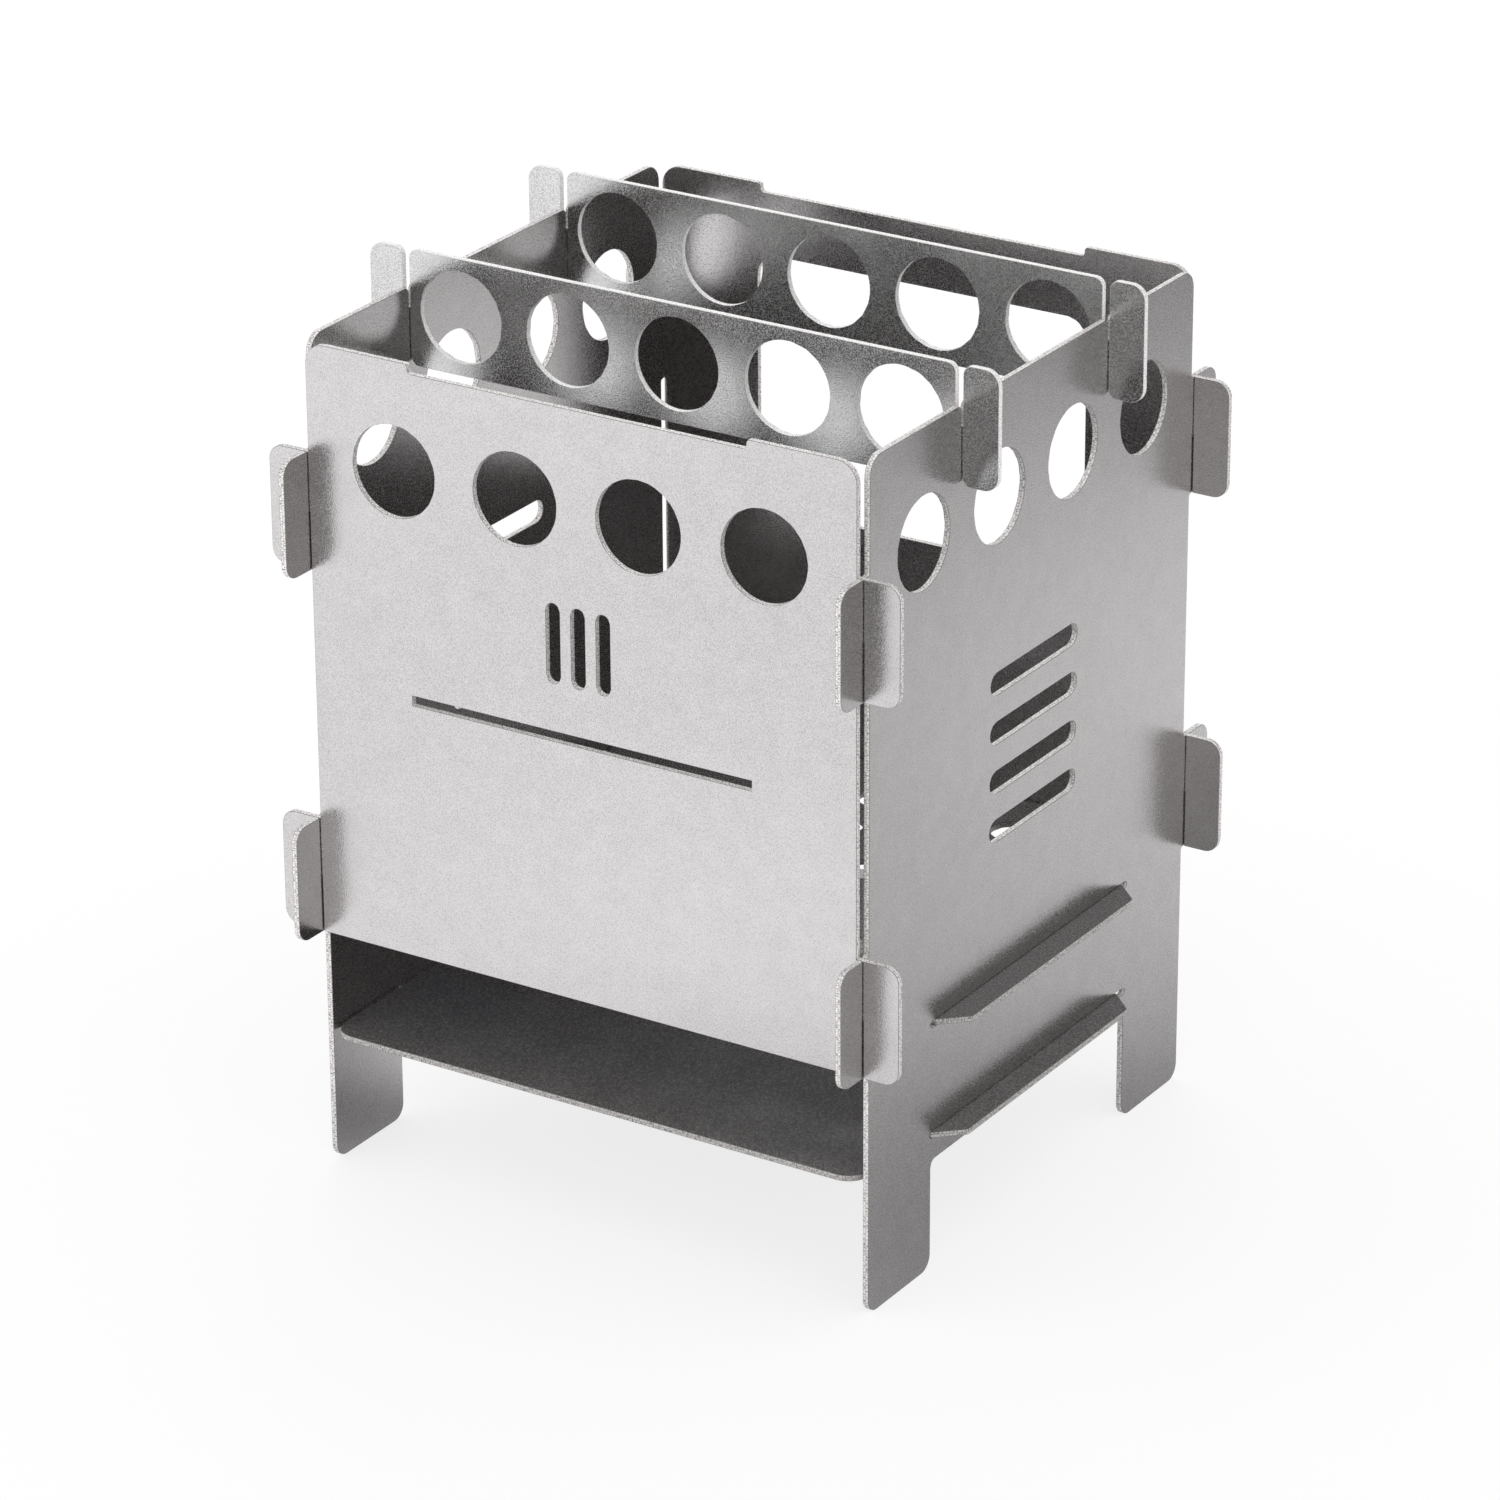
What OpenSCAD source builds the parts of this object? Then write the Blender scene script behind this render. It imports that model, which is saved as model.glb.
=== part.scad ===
// Plug-together twig stove cut from flat titanium sheet.
// Two side walls with legs, a front and a back panel, two pot bars and two plates.
// X runs to the right, Y to the back and Z up. The origin is on the floor, under the centre.

/* [Stove] */
// Width over the outer faces of the side walls
width = 80; // [70:1:110]
// Depth over the outer faces of the front and back panels
depth = 80; // [70:1:110]
// Height of the side walls' top edges above the floor
wall_h = 111.5; // [100:0.5:150]
// Thickness of the sheet
sheet = 0.8; // [0.6:0.1:1.4]

/* [Fits] */
// Gap on each side of a sheet in a slit
slit_clear = 0.1; // [0.05:0.05:0.3]
// Gap between the blind ends of two slits that hook into each other
lap_clear = 0.1; // [0.05:0.05:0.3]
// Gap between the upright edges of a side wall and the panels' inner faces
edge_gap = 0.6; // [0.4:0.05:1.2]
// How far the panels' top edges stay below the side walls'
panel_drop = 0.3; // [0:0.1:2]

/* [Corner tabs] */
// How far a tab stands out past the outer face of the sheet that it crosses
tab_reach = 5; // [3:0.5:9]
// Height of a tab
tab_h = 15.5; // [11:0.5:19]
// Distance from the side walls' top edges down to the upper tabs
tab_drop = 14.5; // [8:0.5:20]
// Radius of a tab's free corners
tab_r = 2; // [0.5:0.25:3]
// Radius where a side wall's upright edge runs into a tab
root_r = 0.4; // [0.1:0.05:1]

/* [Side walls] */
// Width of a leg
leg_w = 14.6; // [10:0.2:20]
// Height of the gap between the legs
leg_h = 14.7; // [10:0.1:25]
// Radius of a foot's corners
foot_r = 2; // [0.5:0.25:4]
// Radius in the corners of the gap between the legs
leg_fillet = 1; // [0.25:0.25:4]
// Radius of the side walls' top corners
wall_top_r = 2.5; // [0.5:0.25:5]
// Sheet left between the gap between the legs and the ash plate's slits
ash_web = 3; // [2:0.1:6]
// Distance between the middles of the two pot bars
bar_spacing = 34.9; // [28:0.1:46]
// Radius of the mouth of a pot bar's slot
mouth_r = 0.8; // [0.2:0.1:1.5]

/* [Air holes] */
// Diameter of the holes in the side walls and the front panel
hole_d = 12; // [8:0.1:13]
// Distance from one hole to the next
hole_pitch = 17.6; // [15:0.1:22]
// Distance from the side walls' top edges down to the row's centre line
hole_drop = 14.5; // [12:0.1:20]
// Least sheet between the last hole of a row and the sheet's edge
hole_web = 6; // [3:0.1:10]

/* [Side vents] */
// Length of a vent in the side walls
vent_l = 21; // [12:0.5:30]
// Height of a vent
vent_w = 3; // [2:0.1:4]
// Distance from one vent to the next
vent_pitch = 6.5; // [5:0.1:8]
// How many vents are stacked in each side wall
vents = 4; // [2:1:4]
// Distance from the side walls' top edges down to the middle of the stack
vent_drop = 48.5; // [40:0.5:52]

/* [Panels] */
// Radius of the panels' top corners
panel_r = 2.75; // [0.5:0.25:5]
// Width of the shallow recess in the panels' top edges
recess_w = 48; // [30:0.5:58]
// Depth of the recess
recess_d = 1.2; // [0.5:0.1:3]
// Radius in and beside the recess's corners
recess_r = 0.5; // [0.1:0.05:0.5]

/* [Front panel] */
// Length of the narrow slot in the front panel
slot_w = 49; // [30:0.5:60]
// Height of the narrow slot
slot_h = 1.3; // [0.8:0.1:3]
// Distance from the side walls' top edges down to the slot's centre line
slot_drop = 44.15; // [40:0.05:50]
// Width of one of the upright vents above the slot
upright_w = 2; // [1:0.1:2.5]
// Height of the upright vents
upright_h = 10.4; // [6:0.1:14]
// Distance from one upright vent to the next
upright_pitch = 3.6; // [3.2:0.1:6]
// How many upright vents the front panel has
uprights = 3; // [1:1:5]
// Distance from the side walls' top edges down to the upright vents' middle
upright_drop = 32; // [30:0.1:35]

/* [Back panel] */
// Width of the feed opening
feed_w = 49; // [35:0.5:58]
// Height of the feed opening
feed_h = 35.1; // [20:0.1:38]
// Distance from the side walls' top edges down to the feed opening
feed_drop = 9.9; // [6:0.1:15]
// Radius of the feed opening's corners
feed_r = 3; // [1:0.25:8]

/* [Pot bars] */
// Height of a pot bar
bar_h = 15.25; // [14.5:0.05:20]
// How far the pot bars stand above the side walls
bar_rise = 5; // [3:0.1:7]
// Height of the neck that sits in the side wall's slot
neck_h = 4; // [2.5:0.1:5]
// Diameter of the pot bars' holes
bar_hole_d = 12; // [8:0.1:13]
// Distance from one hole to the next in a pot bar
bar_hole_pitch = 15.75; // [14:0.05:20]
// Least sheet between the last hole and the notch at a pot bar's end
bar_hole_web = 1.2; // [0.8:0.1:4]
// Radius of a pot bar's outermost corners
bar_r = 2; // [0.5:0.25:3]
// Radius of the corners beside the notches
notch_r = 1.2; // [0.2:0.1:1.8]

/* [Plates] */
// Distance from the ash plate up to the fire grate
plate_spacing = 15; // [10:0.1:22]
// Width of a lug where it leaves the side wall
lug_w = 46; // [30:0.5:52]
// How far a lug stands out of the side wall's outer face
lug_reach = 3.4; // [2:0.1:5]
// How far a lug's slanted ends draw in
lug_slope = 3.2; // [1:0.1:6]
// Radius of a lug's two outer corners
lug_r = 0.8; // [0.2:0.1:2]
// Gap at each end of a centred lug in its slit
lug_end_clear = 1.3; // [0.5:0.1:2]
// Gap left before the ash plate's lugs, which sit pushed to the front
ash_front_clear = 0.4; // [0.3:0.05:1]
// Gap between a plate and the side walls' inner faces
plate_side_clear = 0.3; // [0.1:0.05:1]
// Gap between the fire grate and the panels' inner faces
plate_end_clear = 0.6; // [0.2:0.05:1.5]
// Radius of the plates' corners
plate_r = 3; // [1:0.25:6]
// Diameter of the fire grate's holes
grate_hole_d = 6; // [3:0.1:8]
// Distance from one grate hole to the next, both ways
grate_pitch = 10; // [9:0.1:14]
// Least sheet between a grate hole and the grate's edge
grate_web = 5; // [2:0.1:10]

/* [Hidden] */
$fn = 64;

// How far a cutter runs past the sheet and a joined piece into it
bite = 1;

wall_colour = [0.66, 0.66, 0.65];
panel_colour = [0.80, 0.79, 0.78];
bar_colour = [0.56, 0.55, 0.54];
plate_colour = [0.42, 0.41, 0.41];

// Faces of the sheets, measured from the middle of the stove
wall_out = width / 2;
wall_in = wall_out - sheet;
panel_out = depth / 2;
panel_in = panel_out - sheet;

// Upright edges of the side walls, and of the panels
wall_edge = panel_in - edge_gap;
panel_edge = wall_in - slit_clear;

// Levels above the floor
ash_z = leg_h + ash_web + slit_clear;
grate_z = ash_z + plate_spacing;
panel_z = grate_z - slit_clear;
panel_top = wall_h - panel_drop;
lower_tab_z = panel_z;
upper_tab_z = wall_h - tab_drop - tab_h;
tab_levels = [lower_tab_z, upper_tab_z];
hole_z = wall_h - hole_drop;
bar_top = wall_h + bar_rise;
bar_z = bar_top - bar_h;
neck_top = bar_top - bar_h / 2;
neck_z = neck_top - neck_h;
bar_slot_z = neck_z - lap_clear;

// Plates and their lugs
plate_x = wall_in - plate_side_clear;
plate_y = panel_in - plate_end_clear;
lug_slit_l = lug_w + 2 * lug_end_clear;
ash_shift = lug_end_clear - ash_front_clear;

// The strip beside a side wall's slit limits the fillet at the tab's root
strip = edge_gap - slit_clear;
wall_root_r = min(root_r, strip);

// Most copies of a hole that fit on a line, and their places along it
function fits(half, web, d, pitch) = 1 + floor((2 * (half - web) - d) / pitch + 0.001);
function row(count, pitch) = [for (i = [0:count - 1]) (i - (count - 1) / 2) * pitch];

wall_holes = row(fits(wall_edge, hole_web, hole_d, hole_pitch), hole_pitch);
panel_holes = row(fits(panel_edge, hole_web, hole_d, hole_pitch), hole_pitch);
bar_holes = row(fits(panel_edge, bar_hole_web, bar_hole_d, bar_hole_pitch), bar_hole_pitch);
grate_holes_x = row(fits(plate_x, grate_web, grate_hole_d, grate_pitch), grate_pitch);
grate_holes_y = row(fits(plate_y, grate_web, grate_hole_d, grate_pitch), grate_pitch);

// Flat shapes

// Rectangle between a low and a high corner
module block(x0, y0, x1, y1) {
    translate([x0, y0]) square([x1 - x0, y1 - y0]);
}

// What lies between a square corner and a round of radius r in it. The signs point to the round.
module spandrel(x, y, sx, sy, r) {
    translate([x, y])
        mirror([sx < 0 ? 1 : 0, 0])
            mirror([0, sy < 0 ? 1 : 0])
                difference() {
                    translate([-bite, -bite]) square(r + bite);
                    translate([r, r]) circle(r);
                }
}

// Rectangle with a radius at each corner: low left, low right, high right, high left
module rounded(x0, y0, x1, y1, radii) {
    difference() {
        block(x0, y0, x1, y1);
        if (radii[0] > 0) spandrel(x0, y0, 1, 1, radii[0]);
        if (radii[1] > 0) spandrel(x1, y0, -1, 1, radii[1]);
        if (radii[2] > 0) spandrel(x1, y1, -1, -1, radii[2]);
        if (radii[3] > 0) spandrel(x0, y1, 1, -1, radii[3]);
    }
}

// What lies between the corner b of a line from a over b to c and a round of radius r in it
module corner(a, b, c, r) {
    back = (a - b) / norm(a - b);
    on = (c - b) / norm(c - b);
    half_sine = sqrt((1 - back * on) / 2);
    half_cosine = sqrt((1 + back * on) / 2);
    middle = b + (back + on) / norm(back + on) * r / half_sine;
    run = r * half_cosine / half_sine;
    translate(middle)
        difference() {
            polygon([for (p = [middle, b + back * run, b, b + on * run]) (p - middle) * (r + bite) / r]);
            circle(r);
        }
}

// Slot with round ends, along the first axis
module obround(x, y, length, breadth) {
    run = (length - breadth) / 2;
    block(x - run, y - breadth / 2, x + run, y + breadth / 2);
    for (s = [-1, 1]) translate([x + s * run, y]) circle(breadth / 2);
}

// A copy on each side of the middle
module both_sides() {
    children();
    mirror([1, 0]) children();
}

// Corner tabs on one upright edge, with their free corners rounded
module tabs(edge, tip) {
    for (z = tab_levels) rounded(edge - bite, z, tip, z + tab_h, [0, tab_r, tab_r, 0]);
}

// Slits in the tabs, from the middle to the upper or the lower end
module tab_slits(from, to, upward) {
    for (z = tab_levels) {
        middle = z + tab_h / 2;
        if (upward) block(from, middle - lap_clear / 2, to, z + tab_h + bite);
        else block(from, z - bite, to, middle + lap_clear / 2);
    }
}

// Round holes in a line
module hole_row(places, z, d) {
    for (x = places) translate([x, z]) circle(d / 2);
}

// Side wall, drawn with the first axis to the back

// Rounds where the wall's upright edge runs into its tabs
module tab_roots() {
    for (z = tab_levels) {
        spandrel(wall_edge, z, 1, -1, wall_root_r);
        spandrel(wall_edge, z + tab_h, 1, 1, wall_root_r);
    }
}

// Leg, and the round in the corner between it and the wall's lower edge
module leg() {
    rounded(wall_edge - leg_w, 0, wall_edge, leg_h + foot_r, [foot_r, foot_r, 0, 0]);
    spandrel(wall_edge - leg_w, leg_h, -1, -1, leg_fillet);
}

// Slot for a pot bar's neck, open at the wall's top edge, with a round mouth
module bar_slot() {
    half = sheet / 2 + slit_clear;
    middle = bar_spacing / 2;
    block(middle - half, bar_slot_z, middle + half, wall_h + bite);
    spandrel(middle - half, wall_h, -1, -1, mouth_r);
    spandrel(middle + half, wall_h, 1, -1, mouth_r);
}

module side_wall_outline() {
    difference() {
        union() {
            rounded(-wall_edge, leg_h, wall_edge, wall_h, [0, 0, wall_top_r, wall_top_r]);
            both_sides() leg();
            both_sides() tabs(wall_edge, panel_out + tab_reach);
            both_sides() tab_roots();
        }
        both_sides() tab_slits(panel_in - slit_clear, panel_out + slit_clear, true);
        both_sides() bar_slot();
        hole_row(wall_holes, hole_z, hole_d);
        for (z = row(vents, vent_pitch)) obround(0, wall_h - vent_drop + z, vent_l, vent_w);
        for (z = [ash_z, grate_z]) obround(0, z + sheet / 2, lug_slit_l, sheet + 2 * slit_clear);
    }
}

// Front and back panels, drawn with the first axis to the right

// Recess in a panel's top edge, with rounds below and beside it
module recess() {
    half = recess_w / 2;
    floor_z = panel_top - recess_d;
    rounded(-half, floor_z, half, panel_top + bite, [recess_r, recess_r, 0, 0]);
    both_sides() spandrel(half, panel_top, 1, -1, recess_r);
}

module panel_outline() {
    difference() {
        union() {
            rounded(-panel_edge, panel_z, panel_edge, panel_top, [0, 0, panel_r, panel_r]);
            both_sides() tabs(panel_edge, wall_out + tab_reach);
        }
        both_sides() tab_slits(panel_edge, wall_out + slit_clear, false);
        recess();
    }
}

module front_outline() {
    difference() {
        panel_outline();
        hole_row(panel_holes, hole_z, hole_d);
        block(-slot_w / 2, wall_h - slot_drop - slot_h / 2, slot_w / 2, wall_h - slot_drop + slot_h / 2);
        for (x = row(uprights, upright_pitch))
            translate([x, wall_h - upright_drop]) rotate(90) obround(0, 0, upright_h, upright_w);
    }
}

module back_outline() {
    feed_top = wall_h - feed_drop;
    difference() {
        panel_outline();
        rounded(-feed_w / 2, feed_top - feed_h, feed_w / 2, feed_top, [feed_r, feed_r, feed_r, feed_r]);
    }
}

// Pot bar, drawn with the first axis to the right

// Notch over and notch under the neck, with rounds at their mouths
module bar_notches() {
    from = panel_edge;
    to = wall_out + slit_clear;
    block(from, neck_top, to, bar_top + bite);
    block(from, bar_z - bite, to, neck_z);
    for (end = [[bar_top, -1], [bar_z, 1]]) {
        spandrel(from, end[0], -1, end[1], notch_r);
        spandrel(to, end[0], 1, end[1], notch_r);
    }
}

module bar_outline() {
    tip = wall_out + tab_reach;
    difference() {
        rounded(-tip, bar_z, tip, bar_top, [bar_r, bar_r, bar_r, bar_r]);
        both_sides() bar_notches();
        hole_row(bar_holes, bar_z + bar_h / 2, bar_hole_d);
    }
}

// Plates, drawn from above

// Lug with slanted ends and round corners on the right-hand edge, or on the left-hand one where side is -1
module lug(side) {
    half = lug_w / 2;
    tip = wall_out + lug_reach;
    profile = [[plate_x - bite, -half], [wall_out, -half], [tip, -half + lug_slope],
               [tip, half - lug_slope], [wall_out, half], [plate_x - bite, half]];
    points = [for (p = profile) [side * p[0], side * p[1]]];
    difference() {
        polygon(points);
        for (i = [2, 3]) corner(points[i - 1], points[i], points[i + 1], lug_r);
    }
}

module plate_outline() {
    rounded(-plate_x, -plate_y, plate_x, plate_y, [plate_r, plate_r, plate_r, plate_r]);
    for (side = [-1, 1]) lug(side);
}

module grate_outline() {
    difference() {
        plate_outline();
        for (y = grate_holes_y) hole_row(grate_holes_x, y, grate_hole_d);
    }
}

// Sheets set up in space

// Upright sheet across X, from x on
module across_x(x) {
    translate([x, 0, 0]) rotate([90, 0, 90]) linear_extrude(sheet) children();
}

// Upright sheet across Y, from y on
module across_y(y) {
    translate([0, y + sheet, 0]) rotate([90, 0, 0]) linear_extrude(sheet) children();
}

// Level sheet, from z on
module level(z) {
    translate([0, 0, z]) linear_extrude(sheet) children();
}

module left_side_wall() {
    color(wall_colour) across_x(-wall_out) side_wall_outline();
}

module right_side_wall() {
    color(wall_colour) across_x(wall_in) side_wall_outline();
}

module front_panel() {
    color(panel_colour) across_y(-panel_out) front_outline();
}

module back_panel() {
    color(panel_colour) across_y(panel_in) back_outline();
}

module front_bar() {
    color(bar_colour) across_y(-bar_spacing / 2 - sheet / 2) bar_outline();
}

module rear_bar() {
    color(bar_colour) across_y(bar_spacing / 2 - sheet / 2) bar_outline();
}

module fire_grate() {
    color(plate_colour) level(grate_z) grate_outline();
}

module ash_plate() {
    color(plate_colour) level(ash_z) translate([0, -ash_shift]) plate_outline();
}

left_side_wall();
right_side_wall();
front_panel();
back_panel();
front_bar();
rear_bar();
fire_grate();
ash_plate();
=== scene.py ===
"""Plug-together twig stove of laser-cut titanium sheet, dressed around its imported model.

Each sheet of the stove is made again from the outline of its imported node: the same flat shape at the same
place, with the broken and grooved edge that a laser leaves, and with the finishes of the real titanium.
Lengths are in metres, apart from those whose names end in _mm or _px.
"""

import logging
import math
from dataclasses import dataclass, field
from enum import Enum, IntEnum
from typing import Any

import bmesh
import bpy
import numpy as np
from mathutils import Matrix, Vector
from mathutils.geometry import delaunay_2d_cdt


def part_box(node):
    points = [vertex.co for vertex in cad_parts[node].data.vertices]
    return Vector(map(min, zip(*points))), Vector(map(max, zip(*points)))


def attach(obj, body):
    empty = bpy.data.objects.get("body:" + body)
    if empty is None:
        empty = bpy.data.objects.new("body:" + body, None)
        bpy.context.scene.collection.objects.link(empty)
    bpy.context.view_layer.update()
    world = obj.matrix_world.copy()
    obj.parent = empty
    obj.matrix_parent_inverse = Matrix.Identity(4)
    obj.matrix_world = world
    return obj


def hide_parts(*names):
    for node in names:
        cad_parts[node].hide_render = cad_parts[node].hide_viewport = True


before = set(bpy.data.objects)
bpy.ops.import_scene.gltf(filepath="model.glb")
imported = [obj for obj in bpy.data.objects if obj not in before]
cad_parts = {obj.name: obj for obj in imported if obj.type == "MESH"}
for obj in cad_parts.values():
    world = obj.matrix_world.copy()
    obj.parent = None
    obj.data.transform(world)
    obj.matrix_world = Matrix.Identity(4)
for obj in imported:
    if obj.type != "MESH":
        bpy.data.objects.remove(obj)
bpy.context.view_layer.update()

LOG = logging.getLogger("twig_stove")
MM = 0.001
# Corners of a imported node's triangles that lie nearer than this are one point.
WELD = 0.000002
# The triangulation's own number for an answer with every triangle that it makes.
ALL_TRIANGLES = 0
WHITE_HEX = "FFFFFF"


def linear(hex_colour: str) -> tuple[float, float, float, float]:
    """Turns an sRGB colour into Blender's linear colour, by the sRGB standard's curve.

    Args:
        hex_colour: six hexadecimal digits, such as "C1BDBC".

    Returns:
        Red, green and blue in linear light, and an alpha of 1.
    """
    parts = [int(hex_colour[i:i + 2], 16) / 255 for i in (0, 2, 4)]
    light = [p / 12.92 if p <= 0.04045 else ((p + 0.055) / 1.055) ** 2.4 for p in parts]
    return (*light, 1.0)


def add_node(tree: bpy.types.NodeTree, kind: str, inputs: dict[Any, Any] | None = None,
             **settings: Any) -> bpy.types.Node:
    """Adds one node to a tree, with its settings and links.

    Args:
        tree: the tree that gets the node.
        kind: Blender's name for the kind of node.
        inputs: for a socket's name or number, the socket that feeds it or its value.
        **settings: properties of the node itself.

    Returns:
        The new node.
    """
    node = tree.nodes.new(kind)
    for name, value in settings.items():
        setattr(node, name, value)
    for key, value in (inputs or {}).items():
        if isinstance(value, bpy.types.NodeSocket):
            tree.links.new(value, node.inputs[key])
        else:
            node.inputs[key].default_value = value
    return node


def empty_material(name: str) -> tuple[bpy.types.Material, bpy.types.NodeTree]:
    """Makes a material with an empty node tree.

    Args:
        name: the material's name.

    Returns:
        The material and its tree.
    """
    material = bpy.data.materials.new(name)
    material.use_nodes = True
    material.node_tree.nodes.clear()
    return material, material.node_tree


class Slot(Enum):
    """The record's material slots."""

    SIDE_WALL = "side_wall"
    PANEL = "panel"
    POT_BAR = "pot_bar"
    PLATE = "plate"


class Across(IntEnum):
    """The axis that a sheet's thickness lies along."""

    X = 0
    Y = 1
    Z = 2

    @property
    def plane(self) -> list[int]:
        """The two axes of the sheet's plane, which follow this one in turn."""
        return [(self + 1) % 3, (self + 2) % 3]


@dataclass(frozen=True)
class BlastedTitanium:
    """Titanium sheet, rolled and then blasted with fine glass beads.

    It gives the eye a satin grey that mirrors what stands beside it, softly. The beads leave a fine
    sparkling grain: each grain leans its own way, and the roughest of them catch light from all sides.
    The grain is drawn about three times as coarse as real, so that it shows. Faint clouds and a few dark
    pits are left from rolling.

    Attributes:
        dark_hex: colour of the darkest grains.
        light_hex: colour of the lightest grains.
        metal_share: share of bare metal, where the rest is a matte film.
        smooth: roughness of the smoothest grains.
        rough: roughness of the roughest grains.
        rough_span: values of the grain's noise between which the roughness rises.
        grain_share: how far the grain goes from the middle of the two colours towards each.
        grain_mm: size of a grain.
        grain_height_mm: height of a grain.
        grain_span: values of the grain's noise that give the darkest and the lightest grains.
        cloud_share: how far the clouds go from the middle of the two colours towards each.
        cloud_mm: size of a cloud.
        cloud_span: values of the clouds' noise that give the darkest and the lightest ones.
        pit_mm: distance from one pit to the next.
        pit_shade: share of the lighter colour that is left in a pit.
        pit_span: distances from a pit's middle to its floor's rim and to its own, as shares of pit_mm.
    """

    dark_hex: str
    light_hex: str
    metal_share: float = 1.0
    smooth: float = 0.17
    rough: float = 0.42
    rough_span: tuple[float, float] = (0.45, 0.75)
    grain_share: float = 0.50
    grain_mm: float = 0.18
    grain_height_mm: float = 0.018
    grain_span: tuple[float, float] = (0.25, 0.75)
    cloud_share: float = 0.06
    cloud_mm: float = 3.0
    cloud_span: tuple[float, float] = (0.3, 0.7)
    pit_mm: float = 1.9
    pit_shade: float = 0.55
    pit_span: tuple[float, float] = (0.05, 0.11)

    def material(self, slot: Slot) -> bpy.types.Material:
        """Builds the finish of the flat faces.

        Args:
            slot: the record's material slot, which the material's name ends with.

        Returns:
            The material.
        """
        made, tree = empty_material(f"bead_blasted_titanium_{slot.value}")
        place = add_node(tree, "ShaderNodeTexCoord").outputs["Object"]
        grain = add_node(tree, "ShaderNodeTexNoise", {
            "Vector": place, "Scale": 1 / (self.grain_mm * MM), "Detail": 1.0,
            "Roughness": 0.6}).outputs["Fac"]
        cloud = add_node(tree, "ShaderNodeTexNoise", {
            "Vector": place, "Scale": 1 / (self.cloud_mm * MM), "Detail": 3.0,
            "Roughness": 0.55}).outputs["Fac"]
        pits = add_node(tree, "ShaderNodeTexVoronoi", {
            "Vector": place, "Scale": 1 / (self.pit_mm * MM), "Randomness": 1.0}).outputs["Distance"]
        pit = add_node(tree, "ShaderNodeMapRange", {
            "Value": pits, "From Min": self.pit_span[0], "From Max": self.pit_span[1],
            "To Min": self.pit_shade, "To Max": 1.0})
        fine = add_node(tree, "ShaderNodeMapRange", {
            "Value": grain, "From Min": self.grain_span[0], "From Max": self.grain_span[1],
            "To Min": -self.grain_share, "To Max": self.grain_share})
        coarse = add_node(tree, "ShaderNodeMapRange", {
            "Value": cloud, "From Min": self.cloud_span[0], "From Max": self.cloud_span[1],
            "To Min": 0.5 - self.cloud_share, "To Max": 0.5 + self.cloud_share})
        both = add_node(tree, "ShaderNodeMath", {0: fine.outputs[0], 1: coarse.outputs[0]},
                        operation="ADD")
        shade = add_node(tree, "ShaderNodeMath", {0: both.outputs[0], 1: pit.outputs[0]},
                         operation="MULTIPLY", use_clamp=True)
        colour = add_node(tree, "ShaderNodeMix", {
            "Factor": shade.outputs[0], "A": linear(self.dark_hex), "B": linear(self.light_hex)},
            data_type="RGBA")
        rough = add_node(tree, "ShaderNodeMapRange", {
            "Value": grain, "From Min": self.rough_span[0], "From Max": self.rough_span[1],
            "To Min": self.smooth, "To Max": self.rough})
        bump = add_node(tree, "ShaderNodeBump", {
            "Height": grain, "Strength": 1.0, "Distance": self.grain_height_mm * MM})
        shader = add_node(tree, "ShaderNodeBsdfPrincipled", {
            "Base Color": colour.outputs["Result"], "Metallic": self.metal_share,
            "Roughness": rough.outputs[0], "Normal": bump.outputs[0]})
        add_node(tree, "ShaderNodeOutputMaterial", {"Surface": shader.outputs[0]})
        return made


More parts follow.
